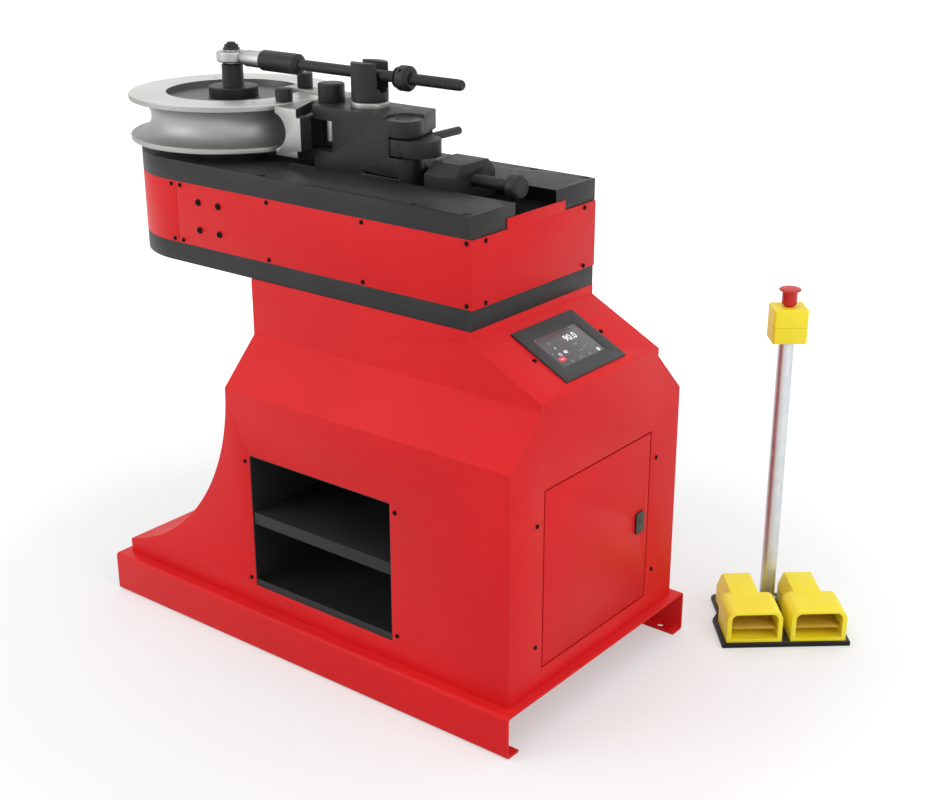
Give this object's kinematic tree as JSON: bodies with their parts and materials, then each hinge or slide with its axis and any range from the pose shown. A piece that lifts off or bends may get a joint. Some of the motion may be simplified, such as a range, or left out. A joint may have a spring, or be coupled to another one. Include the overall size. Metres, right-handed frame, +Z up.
{
  "type": "cnc tube bending machine",
  "caption": "Floor-standing electric tube bender: grooved die on a geared spindle, screw-fed counter die, tie rod, cabinet with shelf, door and screen, foot control with stop button.",
  "frame": {"origin": "centre of the rectangle of floor anchor holes, on the floor plane under the base frame", "axes": "+X along the machine towards the end with the door and the screen, -Y the long side with the tool shelf, +Z up"},
  "size_m": [1.8336, 1.1382, 1.456],
  "materials": {
    "red_paint": "smooth satin red paint",
    "dark_plate": "satin dark grey coating on machined plate",
    "black_oxide": "blackened steel, slightly glossy",
    "die_steel": "turned bright steel",
    "bright_steel": "ground steel",
    "box_black": "satin black sheet",
    "screw_black": "black fasteners",
    "screen_frame": "anthracite frame",
    "screen_glass": "glossy dark display",
    "galvanised": "zinc plated sheet",
    "inverter_plastic": "grey moulded housing",
    "contactor_plastic": "light grey moulding",
    "gear_steel": "hobbed steel, oiled",
    "reducer_paint": "blue-grey machine enamel",
    "bearing_steel": "ground bearing ring",
    "pedal_yellow": "yellow moulded plastic",
    "tread_black": "ribbed black tread",
    "column_zinc": "zinc plated tube",
    "plate_black": "black steel plate",
    "button_red": "red moulded plastic"
  },
  "bodies": {
    "machine": {"base_frame": "red_paint", "cabinet_side_near": "red_paint", "cabinet_side_far": "red_paint", "cabinet_end_panel": "red_paint", "cabinet_curved_panel": "red_paint", "shelf_box": "box_black", "middle_shelf": "box_black", "component_plate": "galvanised", "drive_inverter": "inverter_plastic", "contactors": "contactor_plastic", "screen_bezel": "screen_frame", "touch_screen": "screen_glass", "head_bottom_plate": "dark_plate", "head_top_plate": "dark_plate", "nose_cover": "red_paint", "side_cover_near": "red_paint", "side_cover_far": "red_paint", "head_end_cover": "red_paint", "head_spacers": "gear_steel", "cover_screws": "screw_black", "top_plate_screws": "screw_black", "cabinet_screws": "screw_black", "spindle_bearings": "bearing_steel", "bearing_cap": "dark_plate", "gear_reducer": "reducer_paint", "drive_motor": "reducer_paint", "idler_axle": "gear_steel", "nut_block": "dark_plate", "foot_base": "plate_black", "pedal_hoods": "pedal_yellow", "stop_column": "column_zinc", "stop_box": "pedal_yellow"},
    "spindle": {"spindle_shaft": "gear_steel", "spindle_gear": "gear_steel", "bending_die": "die_steel", "tie_post": "black_oxide", "clamp_bolts": "black_oxide", "spherical_bush": "bright_steel", "post_nut": "black_oxide"},
    "clamp": {"clamp_hook": "die_steel"},
    "idler": {"idler_gear": "gear_steel"},
    "pinion": {"drive_pinion": "gear_steel"},
    "tie_bar": {"rod_end": "bright_steel", "tie_rod": "black_oxide"},
    "tie_washer": {"thrust_washer": "black_oxide"},
    "tie_nut": {"tie_nut": "black_oxide"},
    "carriage": {"carriage_block": "dark_plate", "holder_pin": "black_oxide", "slotted_post": "black_oxide", "post_washer": "bright_steel"},
    "counter_die": {"shoe_holder": "dark_plate", "counter_die": "die_steel"},
    "release": {"release_lever": "black_oxide"},
    "feed_screw": {"feed_screw": "black_oxide"},
    "door": {"door_panel": "red_paint", "door_lock": "screw_black"},
    "door_latch": {"lock_cam": "bright_steel"},
    "left_pedal": {"left_treadle": "tread_black"},
    "right_pedal": {"right_treadle": "tread_black"},
    "stop_button": {"stop_button": "button_red"}
  },
  "joints": [
    {"name": "spindle_turn", "type": "hinge", "parent": "machine", "child": "spindle", "pos_m": [-0.51, 0, 1.2], "axis": [0, 0, 1], "range_deg": [0, 185]},
    {"name": "idler_turn", "type": "hinge", "parent": "machine", "child": "idler", "pos_m": [-0.225, 0, 1.06], "axis": [0, 0, 1], "range_deg": [-330, 10]},
    {"name": "pinion_turn", "type": "hinge", "parent": "machine", "child": "pinion", "pos_m": [-0.075, 0, 1.06], "axis": [0, 0, 1], "range_deg": [0, 750]},
    {"name": "clamp_swing", "type": "hinge", "parent": "spindle", "child": "clamp", "pos_m": [-0.345, 0.094, 1.34], "axis": [0, 0, 1], "range_deg": [0, 60]},
    {"name": "carriage_slide", "type": "slide", "parent": "machine", "child": "carriage", "axis": [1, 0, 0], "range_m": [0, 0.038]},
    {"name": "feed_screw_turn", "type": "hinge", "parent": "carriage", "child": "feed_screw", "pos_m": [0.2, 0, 1.208], "axis": [1, 0, 0], "range_deg": [0, 2280]},
    {"name": "counter_die_tilt", "type": "hinge", "parent": "carriage", "child": "counter_die", "pos_m": [-0.165, 0, 1.274], "axis": [0, 0, 1], "range_deg": [-3, 3]},
    {"name": "release_lever_turn", "type": "hinge", "parent": "carriage", "child": "release", "pos_m": [0.103, -0.038, 1.272], "axis": [0, 0, -1], "range_deg": [0, 45]},
    {"name": "tie_rod_lift", "type": "hinge", "parent": "machine", "child": "tie_bar", "pos_m": [-0.51, 0, 1.42], "axis": [0, -1, 0], "range_deg": [0, 9]},
    {"name": "tie_washer_slide", "type": "slide", "parent": "tie_bar", "child": "tie_washer", "axis": [1, 0, 0], "range_m": [-0.042, 0]},
    {"name": "tie_nut_turn", "type": "hinge", "parent": "tie_washer", "child": "tie_nut", "pos_m": [0.074, 0, 1.42], "axis": [1, 0, 0], "range_deg": [-3024, 0]},
    {"name": "door_swing", "type": "hinge", "parent": "machine", "child": "door", "pos_m": [0.6395, -0.211, 0.38], "axis": [0, 0, -1], "range_deg": [0, 100]},
    {"name": "lock_turn", "type": "hinge", "parent": "door", "child": "door_latch", "pos_m": [0.6475, 0.1805, 0.377], "axis": [-1, 0, 0], "range_deg": [0, 90]},
    {"name": "left_pedal_press", "type": "hinge", "parent": "machine", "child": "left_pedal", "pos_m": [0.80609, 0.48008, 0.035], "axis": [0.7632, 0.6461, 0], "range_deg": [0, 8], "stiffness_Nm_per_rad": 20, "springref_deg": -5.73},
    {"name": "right_pedal_press", "type": "hinge", "parent": "machine", "child": "right_pedal", "pos_m": [0.9324, 0.58701, 0.035], "axis": [0.7632, 0.6461, 0], "range_deg": [0, 8], "stiffness_Nm_per_rad": 20, "springref_deg": -5.73},
    {"name": "stop_button_press", "type": "slide", "parent": "machine", "child": "stop_button", "axis": [0, 0, -1], "range_m": [0, 0.005], "stiffness_N_per_m": 3000, "springref_m": -0.002}
  ],
  "couplings": [
    {"joint": "idler_turn", "follows": "spindle_turn", "ratio": -1.7143},
    {"joint": "pinion_turn", "follows": "spindle_turn", "ratio": 4},
    {"joint": "feed_screw_turn", "follows": "carriage_slide", "rad_per_m": 1047.2},
    {"joint": "tie_washer_slide", "follows": "tie_nut_turn", "m_per_rad": 0.00079577}
  ]
}
